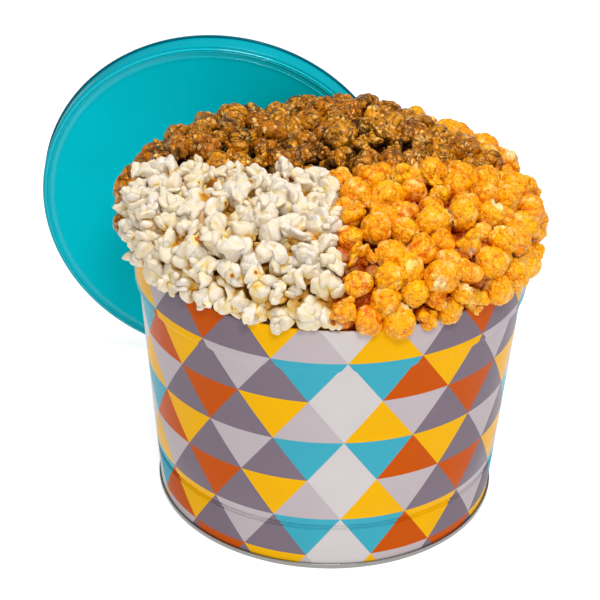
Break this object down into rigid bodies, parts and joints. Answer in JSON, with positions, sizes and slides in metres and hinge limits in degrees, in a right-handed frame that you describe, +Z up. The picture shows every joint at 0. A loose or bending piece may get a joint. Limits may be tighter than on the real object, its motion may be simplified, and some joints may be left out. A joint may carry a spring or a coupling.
{
  "type": "tin of popcorn",
  "caption": "Round tapered tin with a printed triangle pattern, heaped with white, cheese and caramel popcorn, its loose lid leaning on the rim.",
  "frame": {"origin": "centre of the recessed base panel's underside, on the tin's axis, 3 mm above the surface the tin stands on", "axes": "+Z up along the tin's axis, -Y to the front, where the white and cheese popcorn meet, +X to the right; the lid stands behind, to the left"},
  "size_m": [0.346, 0.3039, 0.2554],
  "materials": {
    "printed_sheet": "semi-gloss print on thin sheet steel",
    "bare_sheet": "bright bare sheet",
    "lid_paint": "glossy teal enamel, bare metal inside",
    "white_corn": "stands in for food: dry white popped corn",
    "cheese_corn": "stands in for food: popped corn in orange cheese powder",
    "caramel_corn": "stands in for food: popped corn in glossy brown caramel"
  },
  "bodies": {
    "root": {"tin_body": "printed_sheet", "tin_base": "bare_sheet", "lid": "lid_paint", "popcorn_white": "white_corn", "popcorn_cheddar": "cheese_corn", "popcorn_caramel": "caramel_corn"}
  },
  "joints": []
}
